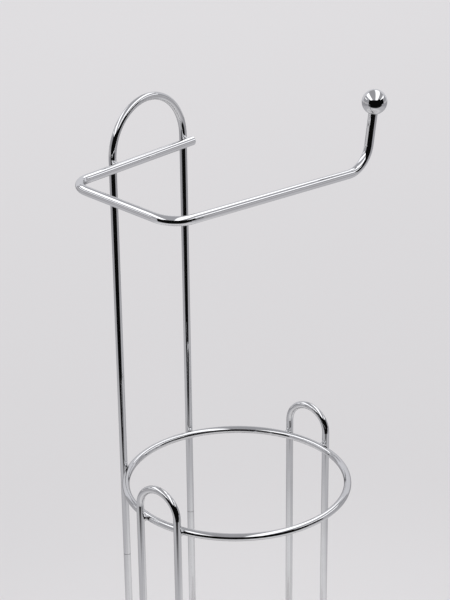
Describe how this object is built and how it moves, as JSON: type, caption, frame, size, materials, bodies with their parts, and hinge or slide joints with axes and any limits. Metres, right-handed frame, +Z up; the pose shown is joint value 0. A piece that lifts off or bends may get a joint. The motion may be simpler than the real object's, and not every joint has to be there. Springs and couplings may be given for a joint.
{
  "type": "toilet roll storage holder",
  "caption": "Free-standing wire stand that stores spare toilet rolls in a round cage and carries one roll in use on a raised arm.",
  "frame": {"origin": "on the floor, at the middle of the stand's overall box; the axis of the storage ring is 8.77 mm to the -X side of it", "axes": "+Z up; +Y towards the mast, at the back; -Y towards the open front of the cage; +X along the roll bar towards its free end"},
  "size_m": [0.1887, 0.155, 0.6107],
  "materials": {
    "frame_chrome": "bright chrome plate on 5 mm steel wire",
    "arm_chrome": "bright chrome plate on 6 mm steel wire",
    "ball_chrome": "polished chrome plate",
    "weld_chrome": "chrome plate over rippled weld metal",
    "spigot_steel": "bare drawn steel pin",
    "pad_rubber": "matt black rubber"
  },
  "bodies": {
    "stand": {"lower_frame": "frame_chrome", "left_side_hoop": "frame_chrome", "right_side_hoop": "frame_chrome", "storage_ring": "frame_chrome", "base_ring": "frame_chrome", "ring_welds": "weld_chrome", "base_welds": "weld_chrome", "front_left_foot": "ball_chrome", "front_right_foot": "ball_chrome", "back_left_foot": "ball_chrome", "back_right_foot": "ball_chrome", "front_left_pad": "pad_rubber", "front_right_pad": "pad_rubber", "back_left_pad": "pad_rubber", "back_right_pad": "pad_rubber"},
    "mast": {"mast_hoop": "frame_chrome", "left_mast_spigot": "spigot_steel", "right_mast_spigot": "spigot_steel", "roll_arm": "arm_chrome", "arm_ball": "ball_chrome", "arm_welds": "weld_chrome"}
  },
  "joints": [
    {"name": "mast_lift", "type": "slide", "parent": "stand", "child": "mast", "axis": [0, 0, 1], "range_m": [0, 0.024]}
  ]
}
